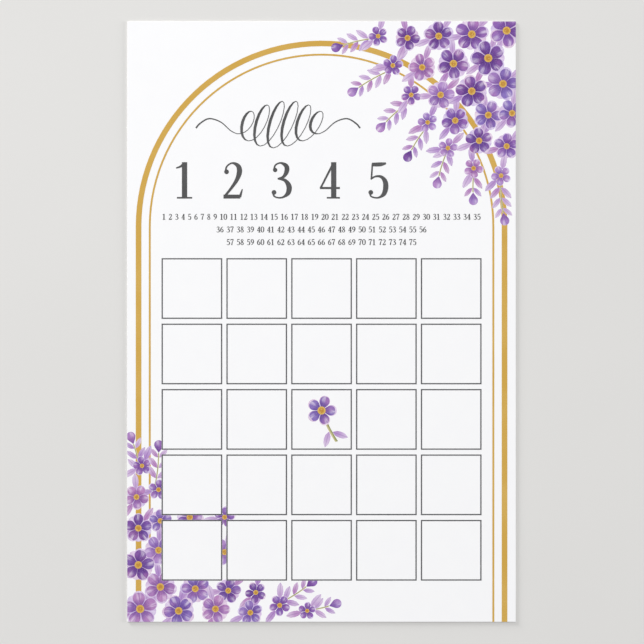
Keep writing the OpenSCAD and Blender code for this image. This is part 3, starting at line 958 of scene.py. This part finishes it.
def place_stem(start, direction, length, width=stem_w):
    stem = model_stem(length, width)
    stem.location = (*start, paper_z)
    stem.rotation_euler = (0, 0, math.radians(direction - 90))
    stem.scale = (1, 1, stand(stem_z))
    return stem


# %% Blossoms on the paper
ghost_share = 0.9
ghost_least_share = 0.65
eye_turn = 90


def place_petals(template, tints, place, turn, radius, z):
    petals = place_mark(template, place, turn, radius, z)
    tint_piece(petals, tints, petal_faces)
    return petals


def place_ghosts(side, rows):
    """Faint blossoms behind the larger ones, seen between their petals."""
    large_rows = [row for row in rows if row[2] > ghost_least_share]
    circles = [blossom_circle(side, row) for row in large_rows]
    ghosts = []
    for row, (*place, radius), level in zip(large_rows, circles, pile_up(circles)):
        turn = row[3] + 180 / petal_n
        z = ghost_z + level * mark_step
        ghosts.append(place_petals(even_blossom, wash_tints, place, turn, ghost_share * radius, z))
    return ghosts


def paint_blossom(tints, place, turn, radius, eye_radius, z):
    """A blossom's first wash, its petals and its eye, each on a level of its own."""
    wash = place_petals(even_blossom, wash_tints, place, turn, radius, z)
    petals = place_petals(shaper.choice(loose_blossoms), tints, place, turn, radius, z + mark_step)
    middle = place_mark(eye, place, eye_turn, eye_radius, z + 2 * mark_step)
    return wash, petals, middle


# %% Trimming and joining
def outside(piece, window):
    """True if some of the piece may lie past the card's edge or over a square."""
    xs = [point.co.x for point in piece.data.vertices]
    ys = [point.co.y for point in piece.data.vertices]
    if max(map(abs, xs)) > card_w / 2 or max(map(abs, ys)) > card_l / 2:
        return True
    if window is upper_window:
        return False
    for name in low_squares:
        low, high = box_mm(name)
        over_x = min(xs) < high.x + print_gap and max(xs) > low.x - print_gap
        over_y = min(ys) < high.y + print_gap and max(ys) > low.y - print_gap
        if over_x and over_y:
            return True
    return False


def lay_down(marks, window, name, slot, material, node):
    """Trims the marks, joins what is left of them and finishes the piece."""
    settle(marks)
    for mark in marks:
        if outside(mark, window):
            cut_with(mark, window, "INTERSECT")
    kept = [mark for mark in marks if len(mark.data.polygons) > 0]
    for mark in marks:
        if mark not in kept:
            bpy.data.objects.remove(mark)
    finish_piece(join_as(kept, name), slot, material, node)


# %% Painting one spray
def paint_sprigs(prefix, side, rows):
    window = windows[side]
    sprigs = [sprig_line(side, row) for row in rows]
    stems = [place_stem(*sprig) for sprig in sprigs]
    lay_down(stems, window, prefix + "_stem_strokes", "olive_ink", stem_stroke, prefix + "_stems")
    leaves = place_leaves([spot for row in rows for spot in sprig_leaves(side, row)], leaf_z)
    lay_down(leaves, window, prefix + "_sprig_leaves", "lilac_ink", leaf_wash, prefix + "_leaves")
    buds = [place_bud(*sprig) for sprig in sprigs]
    lay_down(buds, window, prefix + "_bud_marks", "deep_violet_ink", bud_wash, prefix + "_buds")


def paint_blossoms(prefix, side, rows, groups):
    window = windows[side]
    petal_node = prefix + "_petals"
    leaves = place_leaves([spot for row in rows for spot in blossom_leaves(side, row)], blossom_leaf_z)
    lay_down(leaves, window, prefix + "_blossom_leaves", "lilac_ink", leaf_wash, prefix + "_leaves")
    ghosts = place_ghosts(side, rows)
    lay_down(ghosts, window, prefix + "_ghost_petals", "violet_ink", pale_wash, petal_node)

    circles = [blossom_circle(side, row) for row in rows]
    levels = pile_up(circles)
    all_eyes = []
    for group, (first, last, tints) in groups.items():
        marks = []
        for index in range(first, last):
            *place, radius = circles[index]
            *_, size, turn = rows[index]
            z = blossom_z + levels[index] * blossom_step
            marks.append(paint_blossom(tints, place, turn, radius, blossom_eye_r * size, z))
        washes, petals, eyes = zip(*marks)
        lay_down(washes, window, f"{prefix}_first_washes_{group}", "violet_ink", pale_wash, petal_node)
        lay_down(petals, window, f"{prefix}_blossoms_{group}", "violet_ink", petal_wash, petal_node)
        all_eyes.extend(eyes)
    lay_down(all_eyes, window, prefix + "_eye_dots", "amber_ink", eye_dots, prefix + "_eyes")


# %% Both sprays
upper_groups = {
    "outer": (0, 7, outer_tints), "middle": (7, 15, middle_tints), "corner": (15, 22, corner_tints)
}
lower_groups = {
    "outer": (0, 7, outer_tints), "middle": (7, 14, middle_tints), "corner": (14, 20, corner_tints)
}
paint_sprigs("upper", upper_side, upper_sprig_shares)
paint_blossoms("upper", upper_side, upper_blossom_shares, upper_groups)
paint_sprigs("lower", lower_side, lower_sprig_shares)
paint_blossoms("lower", lower_side, lower_blossom_shares, lower_groups)

# %% [markdown]
# ## Free space
# The middle square holds one blossom on its stem, painted with the same marks as the sprays.

# %% Flower in the middle square
free_blossom_r = 5.5
free_blossom_turn = 0
free_blossom_lift = 3.2
free_stem_l = 12.3
free_stem_w = 1
free_stem_heading = 288
free_leaf_shares = [0.6, 0.66]

free_low, free_high = box_mm("square_row3_col3")
free_place = ((free_low.x + free_high.x) / 2, (free_low.y + free_high.y) / 2 + free_blossom_lift)


def free_leaf_spot(index, share):
    x, y, heading = along_sprig(free_place, free_stem_heading, free_stem_l, share)
    turn = heading + (2 * index - 1) * leaf_spread
    return *beside_stem(x, y, turn, free_stem_w), turn, 1


free_stem = place_stem(free_place, free_stem_heading, free_stem_l, free_stem_w)
free_spots = [free_leaf_spot(index, share) for index, share in enumerate(free_leaf_shares)]
free_leaves = place_leaves(free_spots, leaf_z)
free_wash, free_petals, free_eye = paint_blossom(
    free_tints, free_place, free_blossom_turn, free_blossom_r, blossom_eye_r, blossom_z
)
lay_down([free_stem], upper_window, "free_stem_stroke", "olive_ink", stem_stroke, "free_stem")
lay_down(free_leaves, upper_window, "free_leaf_marks", "lilac_ink", leaf_wash, "free_leaves")
lay_down([free_wash], upper_window, "free_first_wash", "violet_ink", pale_wash, "free_petals")
lay_down([free_petals], upper_window, "free_blossom", "violet_ink", petal_wash, "free_petals")
lay_down([free_eye], upper_window, "free_eye_dot", "amber_ink", eye_dots, "free_eye")

# %% Clear the templates and windows
for tool in (even_petal, *loose_petals, even_blossom, *loose_blossoms, eye, leaf, *windows.values()):
    bpy.data.objects.remove(tool)

# %% [markdown]
# ## Floor and light
# The card lies on a plain pale floor. Soft light comes from all round, with a broad lamp at the upper left.
# Two more stand far off and low, a strong one at the upper left and a weak one at the right, so that the
# thin card throws a narrow soft shadow below it and to its right, and a faint one to its left.

# %% Floor
floor_size = 3
floor_drop = 0.00002
floor_low = from_screen(220, 219, 217)
floor_high = from_screen(226, 225, 223)

start_piece()
bpy.ops.mesh.primitive_plane_add(size=floor_size, location=(0, 0, sheet_low.z * MM - floor_drop))
floor = bpy.context.object
floor.name = "floor"
floor_paint, floor_tree, floor_surface, floor_place = new_finish("floor_paint")
floor_cloud = noise(floor_tree, floor_place, scale=9, detail=3)
floor_colour = mix_colours(floor_tree, floor_cloud, floor_low, floor_high)
floor_tree.links.new(floor_colour, floor_surface.inputs["Base Color"])
floor_surface.inputs["Roughness"].default_value = 0.7
floor_surface.inputs["Specular IOR Level"].default_value = 0.2
floor.data.materials.append(floor_paint)
print("floor:", floor_size, "m wide")

# %% Lamps and surroundings
world_strength = 0.53

world = bpy.data.worlds.new("studio")
world.use_nodes = True
sky = world.node_tree.nodes["Background"]
sky.inputs["Color"].default_value = (1, 1, 1, 1)
sky.inputs["Strength"].default_value = world_strength
bpy.context.scene.world = world


def add_lamp(name, place, width, height, power):
    lamp_data = bpy.data.lights.new(name, "AREA")
    lamp_data.shape = "RECTANGLE"
    lamp_data.size = width
    lamp_data.size_y = height
    lamp_data.energy = power
    lamp = bpy.data.objects.new(name, lamp_data)
    lamp.location = place
    lamp.rotation_euler = (-lamp.location).to_track_quat("-Z", "Y").to_euler()
    bpy.context.scene.collection.objects.link(lamp)


add_lamp("broad_lamp", (-0.75, 0.85, 1.5), width=1.0, height=1.0, power=9.6)
add_lamp("low_left_lamp", (-2.0, 2.1, 0.5), width=1.0, height=0.6, power=95)
add_lamp("low_right_lamp", (2.9, 0.25, 0.5), width=1.0, height=0.6, power=45)
bpy.context.scene.view_settings.view_transform = "Standard"
print("lamps:", len(bpy.data.lights))
